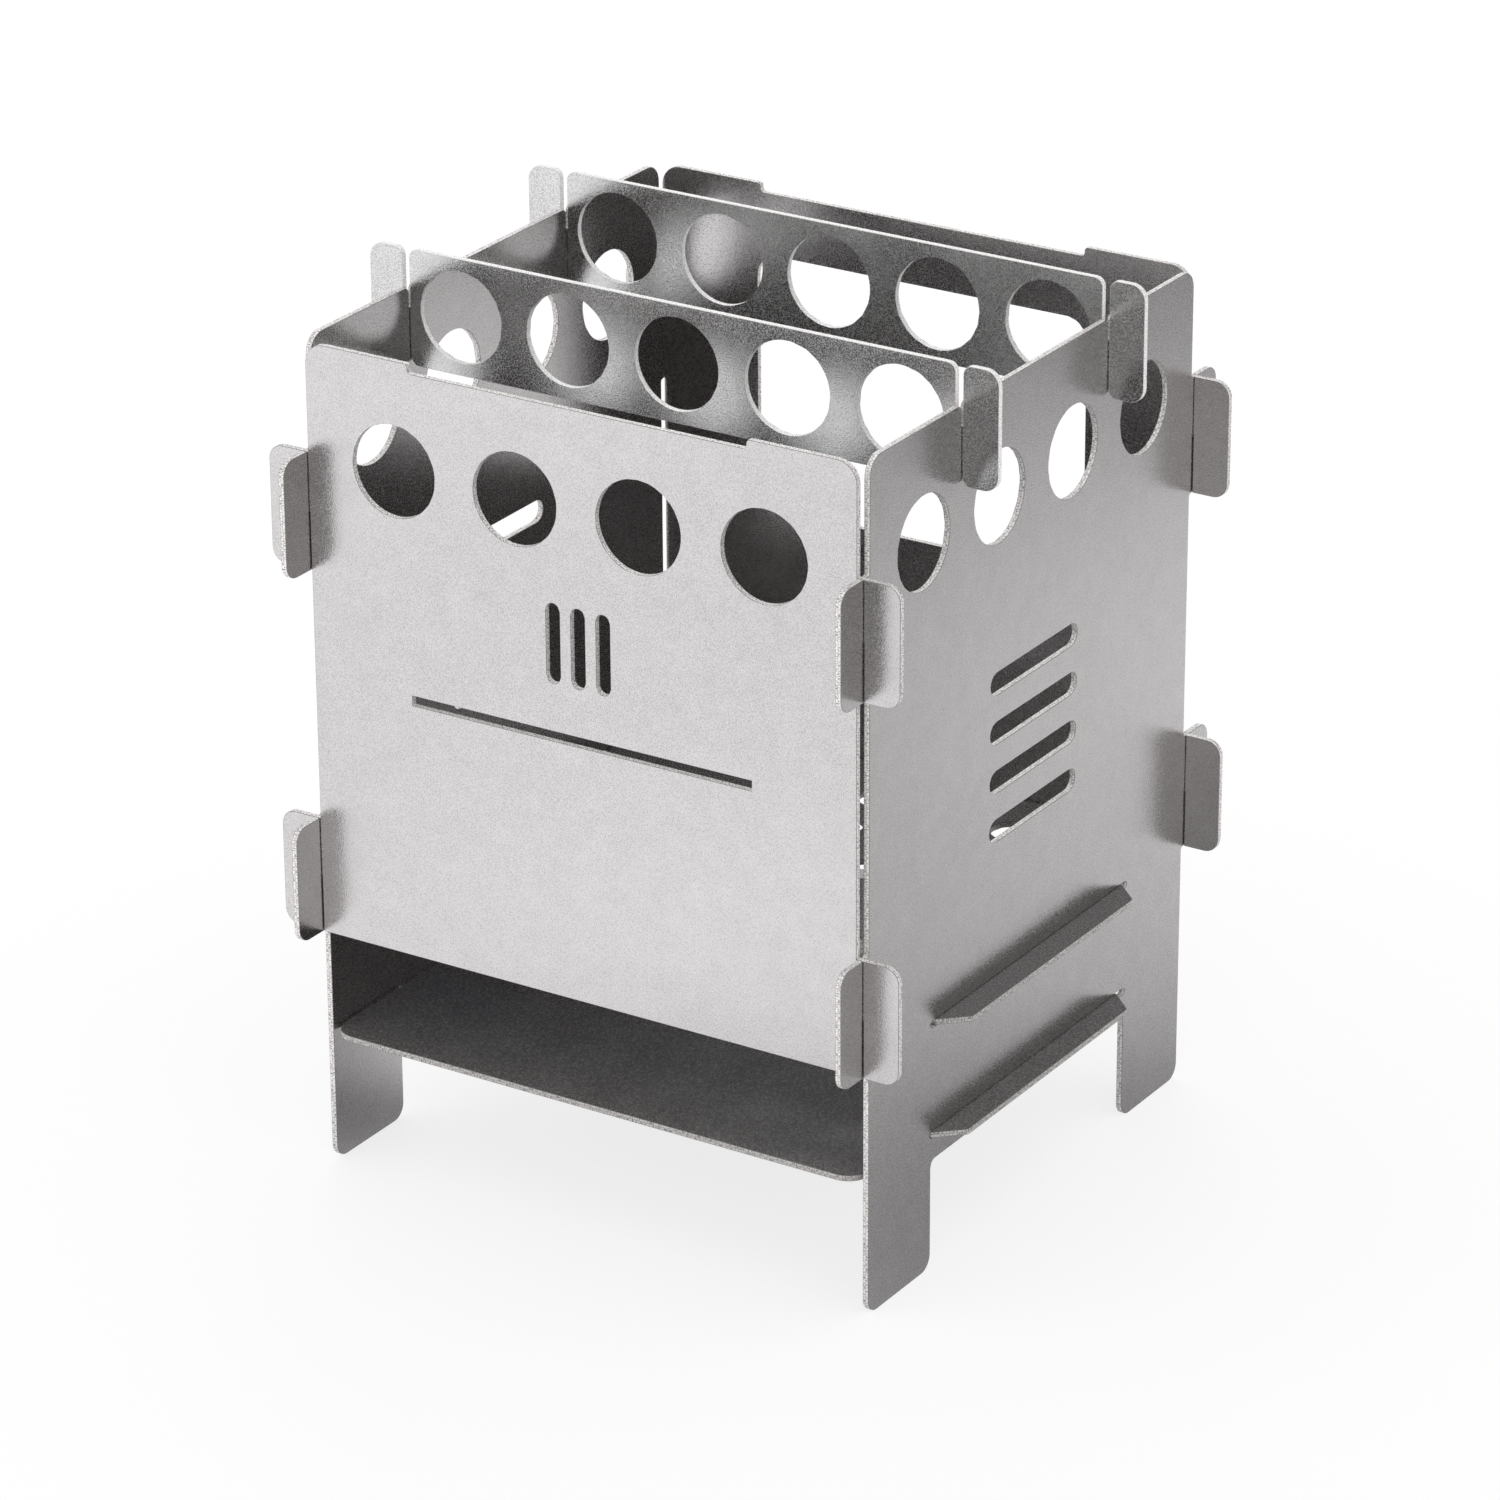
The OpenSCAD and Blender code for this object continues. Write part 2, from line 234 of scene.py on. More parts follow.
@dataclass(frozen=True)
class LaserCutTitanium:
    """Edge of titanium sheet as a laser leaves it: melted, drawn down in fine grooves, and oxidised.

    Its pale matt skin of oxide gives the eye a rim that is brighter than the faces from all sides, and
    speckled dark. A fine line halfway up marks where the melt broke away, and heat has darkened both
    corners. The grooves and the lines are drawn coarser than real ones, so that they show.

    Attributes:
        dark_hex: colour in the grooves.
        light_hex: colour of the ridges between them.
        metal_share: share of bare metal, where the rest is oxide.
        roughness: roughness of the whole edge.
        along_mm: size of the grooves along the edge.
        across_mm: size of the grooves across it.
        height_mm: height of the ridges.
        groove_span: values of the grooves' noise that give the dark and the light colour.
        break_mm: half the width of the line halfway up.
        break_share: share of the light that is left in its middle.
        corner_mm: distance from halfway up to the dark corners.
        corner_fade_mm: width in which the corners turn dark.
        corner_share: share of the light that is left in them.
    """

    dark_hex: str = "928E8C"
    light_hex: str = "FCF9F7"
    metal_share: float = 0.4
    roughness: float = 0.6
    along_mm: float = 0.17
    across_mm: float = 0.34
    height_mm: float = 0.04
    groove_span: tuple[float, float] = (0.36, 0.54)
    break_mm: float = 0.05
    break_share: float = 0.60
    corner_mm: float = 0.31
    corner_fade_mm: float = 0.04
    corner_share: float = 0.35

    def material(self, slot: Slot) -> bpy.types.Material:
        """Builds the finish of the cut edges.

        The map's first axis runs along the edge, and its second up it from the middle, both in metres.

        Args:
            slot: the record's material slot, which the material's name ends with.

        Returns:
            The material.
        """
        made, tree = empty_material(f"laser_cut_titanium_{slot.value}")
        place = add_node(tree, "ShaderNodeUVMap", uv_map=CutSheet.MAP).outputs[0]
        up = add_node(tree, "ShaderNodeSeparateXYZ", {0: place}).outputs["Y"]
        off_middle = add_node(tree, "ShaderNodeMath", {0: up}, operation="ABSOLUTE").outputs[0]
        break_line = add_node(tree, "ShaderNodeMapRange", {
            "Value": off_middle, "From Min": 0.0, "From Max": self.break_mm * MM,
            "To Min": self.break_share, "To Max": 1.0})
        corner_line = add_node(tree, "ShaderNodeMapRange", {
            "Value": off_middle, "From Min": self.corner_mm * MM,
            "From Max": (self.corner_mm + self.corner_fade_mm) * MM,
            "To Min": 1.0, "To Max": self.corner_share})
        lines = add_node(tree, "ShaderNodeMath", {0: break_line.outputs[0], 1: corner_line.outputs[0]},
                         operation="MULTIPLY")
        drawn = add_node(tree, "ShaderNodeMapping", {
            "Vector": place,
            "Scale": (1 / (self.along_mm * MM), 1 / (self.across_mm * MM), 1.0)})
        grooves = add_node(tree, "ShaderNodeTexNoise", {
            "Vector": drawn.outputs[0], "Scale": 1.0, "Detail": 2.0, "Roughness": 0.6}).outputs["Fac"]
        shade = add_node(tree, "ShaderNodeMapRange", {
            "Value": grooves, "From Min": self.groove_span[0], "From Max": self.groove_span[1]})
        grooved = add_node(tree, "ShaderNodeMix", {
            "Factor": shade.outputs[0], "A": linear(self.dark_hex), "B": linear(self.light_hex)},
            data_type="RGBA")
        lined = add_node(tree, "ShaderNodeVectorMath", {
            0: grooved.outputs["Result"], "Scale": lines.outputs[0]}, operation="SCALE")
        bump = add_node(tree, "ShaderNodeBump", {
            "Height": grooves, "Strength": 1.0, "Distance": self.height_mm * MM})
        shader = add_node(tree, "ShaderNodeBsdfPrincipled", {
            "Base Color": lined.outputs[0], "Metallic": self.metal_share,
            "Roughness": self.roughness, "Normal": bump.outputs[0]})
        add_node(tree, "ShaderNodeOutputMaterial", {"Surface": shader.outputs[0]})
        return made


def welded_triangles(node: str) -> tuple[np.ndarray, np.ndarray]:
    """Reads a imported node's triangles, which are loose in its mesh, and welds their corners.

    Args:
        node: the node's name.

    Returns:
        One row of three coordinates for each point, and three point numbers for each triangle.
    """
    welded = bmesh.new()
    welded.from_mesh(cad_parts[node].data)
    bmesh.ops.remove_doubles(welded, verts=welded.verts, dist=WELD)
    mesh = bpy.data.meshes.new("welded")
    welded.to_mesh(mesh)
    welded.free()
    places = np.empty(len(mesh.vertices) * 3)
    mesh.vertices.foreach_get("co", places)
    corners = np.empty(len(mesh.polygons) * 3, np.int64)
    mesh.polygons.foreach_get("vertices", corners)
    bpy.data.meshes.remove(mesh)
    return places.reshape(-1, 3), corners.reshape(-1, 3)


def in_loops(after: np.ndarray) -> tuple[np.ndarray, np.ndarray]:
    """Puts the points of closed loops in order, all loops at once.

    Each point hops twice as far with every pass, which finds the lowest number on its loop, and then how
    many steps it is from there.

    Args:
        after: the number of the point that follows each point on its loop.

    Returns:
        The points' numbers in order, loop after loop, and the number of the loop that each is on.
    """
    here = np.arange(len(after))
    passes = math.ceil(math.log2(len(after))) + 1
    lowest, hop = here, after
    for _ in range(passes):
        lowest = np.minimum(lowest, lowest[hop])
        hop = hop[hop]
    is_first = lowest == here
    steps, hop = np.where(is_first, 0, 1), np.where(is_first, here, after)
    for _ in range(passes):
        steps = steps + steps[hop]
        hop = hop[hop]
    order = np.lexsort((np.where(is_first, -len(after), -steps), lowest))
    return order, np.unique(lowest[order], return_inverse=True)[1]


@dataclass
class Outline:
    """Closed loops in a sheet's plane. The sheet lies to the left of each loop's direction.

    Attributes:
        points: one row of two plane coordinates for each point, loop after loop.
        loop: the number of the loop that each point is on, in rising order.
    """

    points: np.ndarray
    loop: np.ndarray

    @property
    def after(self) -> np.ndarray:
        """The number of the point that follows each point on its loop."""
        here = np.arange(len(self.loop))
        first = np.searchsorted(self.loop, self.loop, side="left")
        last = np.searchsorted(self.loop, self.loop, side="right") - 1
        return np.where(here == last, first, here + 1)

    @property
    def before(self) -> np.ndarray:
        """The number of the point that each point follows on its loop."""
        return np.argsort(self.after)

    def lengths(self) -> np.ndarray:
        """The distance from each point to the next on its loop."""
        return np.linalg.norm(self.points[self.after] - self.points, axis=1)

    def inward(self) -> np.ndarray:
        """Works out which way the sheet lies from each point.

        A point's direction is the sum of its two sides' unit normals over 1 plus their scalar product, so
        that a step along it moves both sides by the step's length, at a corner too.

        Returns:
            One row of two plane coordinates for each point.
        """
        along = (self.points[self.after] - self.points) / self.lengths()[:, None]
        normal = np.stack([-along[:, 1], along[:, 0]], axis=1)
        other = normal[self.before]
        return (normal + other) / (1 + (normal * other).sum(axis=1))[:, None]

    def finer(self, pitch: float) -> "Outline":
        """Adds points on the sides, so that none is longer than the pitch.

        Args:
            pitch: the most that two points may lie apart.

        Returns:
            The finer outline, with every old point in it.
        """
        pieces = np.maximum(1, np.ceil(self.lengths() / pitch)).astype(int)
        start = np.repeat(np.arange(len(pieces)), pieces)
        step = np.arange(pieces.sum()) - np.repeat(np.cumsum(pieces) - pieces, pieces)
        share = (step / pieces[start])[:, None]
        points = self.points[start] * (1 - share) + self.points[self.after[start]] * share
        return Outline(points, self.loop[start])

    def holds(self, places: np.ndarray) -> np.ndarray:
        """Tells which places lie on the sheet, and not in its holes or outside it.

        A line from such a place along the first axis crosses the outline an odd number of times.

        Args:
            places: one row of two plane coordinates for each place.

        Returns:
            True for each place on the sheet.
        """
        start, end = self.points, self.points[self.after]
        across, along = places[:, 0, None], places[:, 1, None]
        passes = (start[:, 1] > along) != (end[:, 1] > along)
        rise = np.where(end[:, 1] == start[:, 1], 1, end[:, 1] - start[:, 1])
        meets = start[:, 0] + (along - start[:, 1]) * (end[:, 0] - start[:, 0]) / rise
        return (passes & (meets > across)).sum(axis=1) % 2 == 1

    @classmethod
    def of_node(cls, node: str, across: Across) -> "Outline":
        """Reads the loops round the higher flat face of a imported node.

        A triangle's side with no neighbour on the same face is a piece of an outline.

        Args:
            node: the node's name.
            across: the axis that the sheet's thickness lies along.

        Returns:
            The outline, in the two axes that follow the thickness axis in turn.
        """
        places, corners = welded_triangles(node)
        height = places[:, across]
        face = corners[(height[corners] > height.max() - WELD).all(axis=1)]
        start, end = face.ravel(), np.roll(face, -1, axis=1).ravel()
        rim = ~np.isin(start * len(places) + end, end * len(places) + start)
        by_start = np.argsort(start[rim])
        start, end = start[rim][by_start], end[rim][by_start]
        order, loop = in_loops(np.searchsorted(start, end))
        return cls(places[start[order]][:, across.plane], loop)


@dataclass(frozen=True)
class CutEdge:
    """The section of a laser-cut edge.

    Attributes:
        rounding: radius of the edge break between an edge and a face.
        rounding_steps: how many strips each edge break has.
        wall_steps: how many strips the edge has between its edge breaks.
        pitch: the most that one groove lies from the next along the edge.
        groove: depth of the deepest groove.
        entry_share: how deep the grooves are where the laser entered, as a share of their depth.
    """

    rounding: float = 0.00007
    rounding_steps: int = 2
    wall_steps: int = 3
    pitch: float = 0.00025
    groove: float = 0.000016
    entry_share: float = 0.45

    def section(self, thickness: float) -> tuple[np.ndarray, np.ndarray, np.ndarray]:
        """Works out the section from the lower face to the higher one.

        An edge break is a quarter of a circle. Between the two the edge is straight, and its grooves
        deepen from the higher face, where the laser entered, to the lower one, where it left.

        Args:
            thickness: thickness of the sheet.

        Returns:
            For each point of the section its distance into the sheet, its height, and how deep the
            grooves are there as a share of their depth.
        """
        turn = np.linspace(0, math.pi / 2, self.rounding_steps + 1)
        inset = self.rounding * (1 - np.sin(turn))
        rise = self.rounding * (1 - np.cos(turn))
        wall = np.linspace(rise[-1], thickness - rise[-1], self.wall_steps + 1)[1:-1]
        height = np.concatenate([rise, wall, (thickness - rise)[::-1]])
        inset = np.concatenate([inset, np.zeros_like(wall), inset[::-1]])
        cut = np.interp(height, [0, self.rounding, thickness - self.rounding, thickness],
                        [0, 1, self.entry_share, 0])
        return inset, height, cut


@dataclass
class CutSheet:
    """One sheet of the stove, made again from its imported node's outline.

    Attributes:
        node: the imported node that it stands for.
        body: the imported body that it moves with.
        across: the axis that its thickness lies along.
        seed: starts the draw of its grooves.
        edge: the section of its edges.
    """

    MAP = "sheet_metres"
    SHARP_ANGLE = math.radians(35)

    node: str
    body: str
    across: Across
    seed: int
    edge: CutEdge = field(default_factory=CutEdge)

    def rings(self, outline: Outline) -> np.ndarray:
        """Carries the edge's section round the outline.

        A point lies at the outline's point, plus the inward direction times the section's inset and
        groove, at the section's height between the sheet's two faces.

        Args:
            outline: the fine outline.

        Returns:
            Points by section, outline and axis.
        """
        low, high = (corner[self.across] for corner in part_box(self.node))
        inset, height, cut = self.edge.section(high - low)
        groove = self.edge.groove * np.random.default_rng(self.seed).random(len(outline.points))
        depth = inset[:, None] + cut[:, None] * groove
        flat = outline.points + depth[:, :, None] * outline.inward()
        rings = np.empty((*depth.shape, 3))
        rings[:, :, self.across] = low + height[:, None]
        rings[:, :, self.across.plane] = flat
        return rings

    def face(self, coarse: Outline, fine: Outline, flat: np.ndarray) -> np.ndarray:
        """Fills the outline with triangles.

        Args:
            coarse: the outline as it was read, to tell the sheet from its holes.
            fine: the fine outline, for its sides.
            flat: the plane coordinates of its points, drawn in by the edge break.

        Returns:
            Three point numbers for each triangle, turning to the left.
        """
        sides = np.stack([np.arange(len(flat)), fine.after], axis=1)
        found = delaunay_2d_cdt([Vector(p) for p in flat], sides.tolist(), [], ALL_TRIANGLES, 0.0)
        if len(found[0]) != len(flat):
            raise ValueError(f"{self.node}: the fill made {len(found[0])} points of {len(flat)}")
        corners = np.array(found[2])
        corners = corners[coarse.holds(flat[corners].mean(axis=1))]
        one, two, three = (flat[corners[:, i]] for i in range(3))
        turn = np.cross(two - one, three - one)
        return np.where((turn < 0)[:, None], corners[:, ::-1], corners)

    def build(self, slot: Slot) -> bpy.types.Object:
        """Makes the sheet's mesh object, with its flat faces first and its edges after them.

        Args:
            slot: the record's material slot; not used.

        Returns:
            The object, which rides on its body and replaces its node.
        """
        coarse = Outline.of_node(self.node, self.across)
        outline = coarse.finer(self.edge.pitch)
        rings = self.rings(outline)
        count, ring_count = len(outline.points), len(rings)
        top = self.face(coarse, outline, rings[0][:, self.across.plane])

        strip = np.arange(ring_count - 1)[:, None] * count
        here, following = np.arange(count)[None, :], outline.after[None, :]
        edges = np.stack([strip + here, strip + following, strip + count + following,
                          strip + count + here], axis=-1).reshape(-1, 4)
        caps = np.concatenate([top[:, ::-1], top + (ring_count - 1) * count])

        mesh = bpy.data.meshes.new(f"{self.node}_sheet")
        mesh.from_pydata(rings.reshape(-1, 3).tolist(), [], caps.tolist() + edges.tolist())
        is_edge = np.repeat([0, 1], [len(caps), len(edges)])
        mesh.polygons.foreach_set("material_index", is_edge)
        mesh.set_sharp_from_angle(angle=self.SHARP_ANGLE)
        mesh.polygons.foreach_set("use_smooth", is_edge.astype(bool))
        self.map_edges(mesh, outline, rings, caps)
        mesh.update()

        sheet = bpy.data.objects.new(f"{self.node}_sheet", mesh)
        bpy.context.scene.collection.objects.link(sheet)
        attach(sheet, self.body)
        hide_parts(self.node)
        return sheet

    def map_edges(self, mesh: bpy.types.Mesh, outline: Outline, rings: np.ndarray,
                  caps: np.ndarray) -> None:
        """Lays a map over the mesh, in metres: along and up the edges, and flat over the faces.

        Up an edge, the map starts from the middle of the sheet.

        Args:
            mesh: the sheet's mesh.
            outline: the fine outline.
            rings: points by section, outline and axis.
            caps: three point numbers for each triangle of the flat faces.
        """
        step = outline.lengths()
        start = np.cumsum(step) - step
        height = rings[:, 0, self.across] - rings[[0, -1], 0, self.across].mean()
        here, there, low, high = np.broadcast_arrays(
            start, start + step, height[:-1, None], height[1:, None])
        edges = np.stack([here, low, there, low, there, high, here, high], axis=-1)
        faces = rings.reshape(-1, 3)[caps.ravel()][:, self.across.plane]
        layer = mesh.uv_layers.new(name=self.MAP)
        layer.data.foreach_set("uv", np.concatenate([faces, edges.reshape(-1, 2)]).ravel())


@dataclass
class SubAssembly:
    """Sheets of the same kind, which share a slot and their finishes.

    Attributes:
        slot: the record's material slot.
        face_finish: finish of the flat faces.
        edge_finish: finish of the cut edges.
        sheets: the sheets.
    """

    slot: Slot
    face_finish: BlastedTitanium
    edge_finish: LaserCutTitanium
    sheets: list[CutSheet]

    def build(self) -> list[bpy.types.Object]:
        """Makes each sheet and gives it the finishes of its faces and its edges.

        Returns:
            The sheets' objects.
        """
        finishes = [self.face_finish.material(self.slot), self.edge_finish.material(self.slot)]
        made = [sheet.build(self.slot) for sheet in self.sheets]
        for piece in made:
            for finish in finishes:
                piece.data.materials.append(finish)
            LOG.info("%s: %d faces", piece.name, len(piece.data.polygons))
        return made


@dataclass
class SideWalls(SubAssembly):
    """The two side walls, each with two legs."""

    slot: Slot = Slot.SIDE_WALL
    face_finish: BlastedTitanium = BlastedTitanium("A6A2A1", "D3CFCE")
    edge_finish: LaserCutTitanium = LaserCutTitanium()
    sheets: list[CutSheet] = field(default_factory=lambda: [
        CutSheet("left_side_wall", "stand", Across.X, 11),
        CutSheet("right_side_wall", "stand", Across.X, 12),
    ])


@dataclass
class Panels(SubAssembly):
    """The front panel with its row of holes, and the back panel with its feed opening."""

    slot: Slot = Slot.PANEL
    face_finish: BlastedTitanium = BlastedTitanium("A8A5A4", "D3D0D0")
    edge_finish: LaserCutTitanium = LaserCutTitanium()
    sheets: list[CutSheet] = field(default_factory=lambda: [
        CutSheet("front_panel", "front_panel", Across.Y, 21),
        CutSheet("back_panel", "back_panel", Across.Y, 22),
    ])


@dataclass
class PotBars(SubAssembly):
    """The two bars that carry the pot. Their edges are drawn paler than the other sheets', with fainter
    dark lines, as a painted highlight of the bright light that their top edges catch.
    """

    slot: Slot = Slot.POT_BAR
    face_finish: BlastedTitanium = BlastedTitanium("A1A09F", "D9D8D7", grain_share=0.65)
    # Paler edge colours and fainter dark lines: painted highlight on the bars' edges.
    edge_finish: LaserCutTitanium = LaserCutTitanium(
        "D0CDCB", "FFFEFD", metal_share=0.25, break_share=0.9, corner_share=0.85)
    sheets: list[CutSheet] = field(default_factory=lambda: [
        CutSheet("front_bar", "front_bar", Across.Y, 31),
        CutSheet("rear_bar", "rear_bar", Across.Y, 32),
    ])


@dataclass
class Plates(SubAssembly):
    """The fire grate and the ash plate.

    Their faces and edges are drawn darker than the walls', as painted shade for where they lie inside the
    box. Their grain is coarser than the walls', with a matte film over the metal.
    """

    slot: Slot = Slot.PLATE
    # The darker face and edge colours are painted shade from inside the box.
    face_finish: BlastedTitanium = BlastedTitanium(
        "767473", "A3A1A0", metal_share=0.60, grain_share=0.80, grain_mm=0.24, grain_height_mm=0.09)
    edge_finish: LaserCutTitanium = LaserCutTitanium("6C6866", "D2CFCD")
    sheets: list[CutSheet] = field(default_factory=lambda: [
        CutSheet("fire_grate", "stand", Across.Z, 41),
        CutSheet("ash_plate", "stand", Across.Z, 42),
    ])


@dataclass(frozen=True)
class SoftBox:
    """A square lamp that faces the stove.

    Attributes:
        name: the lamp's name.
        place: where it stands.
        side: length of its sides.
        glow: its brightness, where 1 is white.
    """

    name: str
    place: tuple[float, float, float]
    side: float
    glow: float

    def build(self, target: Vector) -> None:
        """Adds the lamp. Its power is its glow times pi times its area.

        Args:
            target: the point that it faces.
        """
        lamp = bpy.data.lights.new(self.name, "AREA")
        lamp.shape = "SQUARE"
        lamp.size = self.side
        lamp.energy = self.glow * math.pi * self.side ** 2
        made = bpy.data.objects.new(self.name, lamp)
        made.location = self.place
        made.rotation_euler = (Vector(self.place) - target).to_track_quat("Z", "Y").to_euler()
        bpy.context.scene.collection.objects.link(made)


@dataclass(frozen=True)
class WallGlow:
    """A part of the tent's wall that is brighter or darker than the rest.

    Its light is its glow times e to the power of t (c - 1), where t is its tightness and c the cosine of
    the angle from its middle.

    Attributes:
        azimuth: direction of its middle, in degrees from +X towards +Y.
        elevation: height of its middle above the horizon, in degrees.
        tightness: how soon it fades round its middle.
        glow: brightness that it adds in its middle, where 1 is white.
    """

    azimuth: float
    elevation: float
    tightness: float
    glow: float

    def add_to(self, tree: bpy.types.NodeTree, light: Any, place: bpy.types.NodeSocket) -> Any:
        """Adds this light to the wall's.

        Args:
            tree: the world's tree.
            light: the wall's light so far, as a socket or a number.
            place: the direction that is looked in, of length 1.

        Returns:
            The socket that gives the sum.
        """
        a, e = math.radians(self.azimuth), math.radians(self.elevation)
        middle = (math.cos(a) * math.cos(e), math.sin(a) * math.cos(e), math.sin(e))
        cosine = add_node(tree, "ShaderNodeVectorMath", {0: place, 1: middle}, operation="DOT_PRODUCT")
        power = add_node(tree, "ShaderNodeMath", {
            0: cosine.outputs["Value"], 1: self.tightness, 2: -self.tightness}, operation="MULTIPLY_ADD")
        return add_glow(tree, power.outputs[0], self.glow, light)


@dataclass(frozen=True)
class FloorGlow:
    """A round pool of light or shade on the floor.

    Its light is its glow times e to the power of -(d / s) squared / 2, where d is the distance from its
    middle and s its spread.

    Attributes:
        middle: where its middle lies on the floor.
        spread: how far it spreads.
        glow: brightness that it adds in its middle, where 1 is white.
    """

    middle: tuple[float, float]
    spread: float
    glow: float

    def add_to(self, tree: bpy.types.NodeTree, light: Any, place: bpy.types.NodeSocket) -> Any:
        """Adds this light to the floor's.

        Args:
            tree: the floor's tree.
            light: the floor's light so far, as a socket or a number.
            place: the place on the floor.

        Returns:
            The socket that gives the sum.
        """
        apart = add_node(tree, "ShaderNodeVectorMath", {0: place, 1: (*self.middle, 0.0)},
                         operation="DISTANCE").outputs["Value"]
        squared = add_node(tree, "ShaderNodeMath", {0: apart, 1: apart}, operation="MULTIPLY")
        power = add_node(tree, "ShaderNodeMath", {0: squared.outputs[0], 1: -0.5 / self.spread ** 2},
                         operation="MULTIPLY")
        return add_glow(tree, power.outputs[0], self.glow, light)


def add_glow(tree: bpy.types.NodeTree, power: bpy.types.NodeSocket, glow: float, light: Any) -> Any:
    """Adds a glow times e to a power to the light so far.

    Args:
        tree: the tree that gets the nodes.
        power: the socket that gives the power.
        glow: the glow.
        light: the light so far, as a socket or a number.

    Returns:
        The socket that gives the sum.
    """
    share = add_node(tree, "ShaderNodeMath", {0: power}, operation="EXPONENT")
    return add_node(tree, "ShaderNodeMath", {0: share.outputs[0], 1: glow, 2: light},
                    operation="MULTIPLY_ADD").outputs[0]


@dataclass
class Studio:
    """Light tent round the stove, on a white floor, as the metal of the photograph mirrors it.

    The tent's wall is brightest overhead and at the front left, and its floor has brighter and darker
    pools. What the metal mirrors is this uneven light, and the two smallest pools, under the left wall,
    show in the inner sides of its legs. Everything else is lit by a plain white.

    Attributes:
        floor_side: length of the floor's sides.
        board_hex: colour of the floor's board.
        tint_hex: colour of the tent's light.
        wall_light: brightness of the tent's wall, where 1 is white.
        wall_glows: its brighter parts.
        floor_light: brightness of the floor.
        floor_glows: its brighter and darker pools.
        shade: share of the floor's light that is left under the stove.
        shade_from: how far from the stove's middle that shade begins to fade.
        shade_to: how far from there it ends.
        white_share: share of plain white in the floor that the camera sees.
        lamps: the lamps.
        aim: the point that the lamps face.
    """

    floor_side: float = 4.0
    board_hex: str = "FDFDFD"
    tint_hex: str = "FCFDFF"
    wall_light: float = 0.088
    wall_glows: list[WallGlow] = field(default_factory=lambda: [
        WallGlow(0.0, 90.0, 3.0, 1.54),
        WallGlow(235.0, 4.0, 4.3, 0.62),
    ])
    floor_light: float = 1.48
    floor_glows: list[FloorGlow] = field(default_factory=lambda: [
        FloorGlow((-0.020, -0.125), 0.052, 0.36),
        FloorGlow((0.101, 0.210), 0.066, 0.53),
        FloorGlow((0.370, 0.297), 0.329, -1.28),
        FloorGlow((0.235, -0.323), 0.155, -1.16),
        FloorGlow((0.171, -0.156), 0.036, 1.10),
        FloorGlow((0.130, 0.118), 0.030, 0.11),
        FloorGlow((0.052, 0.046), 0.016, 0.15),
        FloorGlow((-0.032, -0.004), 0.009, 1.5),
        FloorGlow((-0.028, -0.026), 0.012, -0.50),
    ])
    shade: float = 0.43
    shade_from: float = 0.042
    shade_to: float = 0.115
    white_share: float = 0.78
    lamps: list[SoftBox] = field(default_factory=lambda: [
        SoftBox("rear_left_box", (-0.46, 0.72, 0.42), 0.40, 1.76),
        SoftBox("front_left_box", (-0.55, -0.60, 0.62), 0.50, 0.44),
    ])
    aim: tuple[float, float, float] = (0.0, 0.0, 0.06)

    def build(self) -> None:
        """Adds the world, the floor and the lamps."""
        self.world()
        self.floor()
        for lamp in self.lamps:
            lamp.build(Vector(self.aim))

    @staticmethod
    def in_mirror(tree: bpy.types.NodeTree) -> bpy.types.NodeSocket:
        """Tells the rays that come from a mirroring or a clear surface.

        Args:
            tree: the tree that gets the nodes.

        Returns:
            The socket that gives 1 for such a ray, and else 0.
        """
        rays = add_node(tree, "ShaderNodeLightPath").outputs
        return add_node(tree, "ShaderNodeMath", {
            0: rays["Is Glossy Ray"], 1: rays["Is Transmission Ray"]}, operation="MAXIMUM").outputs[0]

    def world(self) -> None:
        """Makes the world: the tent's wall in the metal, and plain white to everything else."""
        world = bpy.data.worlds.new("tent")
        world.use_nodes = True
        tree = world.node_tree
        tree.nodes.clear()
        direction = add_node(tree, "ShaderNodeTexCoord").outputs["Generated"]
        light: Any = self.wall_light
        for glow in self.wall_glows:
            light = glow.add_to(tree, light, direction)
        plain = add_node(tree, "ShaderNodeBackground", {"Color": linear(WHITE_HEX), "Strength": 1.0})
        wall = add_node(tree, "ShaderNodeBackground", {
            "Color": linear(self.tint_hex), "Strength": light})
        both = add_node(tree, "ShaderNodeMixShader", {
            0: self.in_mirror(tree), 1: plain.outputs[0], 2: wall.outputs[0]})
        add_node(tree, "ShaderNodeOutputWorld", {"Surface": both.outputs[0]})
        bpy.context.scene.world = world

    def floor(self) -> None:
        """Makes the floor: a sheet of white board that keeps a faint shadow and glows in reflections."""
        half = self.floor_side / 2
        mesh = bpy.data.meshes.new("floor")
        mesh.from_pydata([(-half, -half, 0), (half, -half, 0), (half, half, 0), (-half, half, 0)],
                         [], [(0, 1, 2, 3)])
        floor = bpy.data.objects.new("floor", mesh)
        bpy.context.scene.collection.objects.link(floor)
        mesh.materials.append(self.floor_finish())

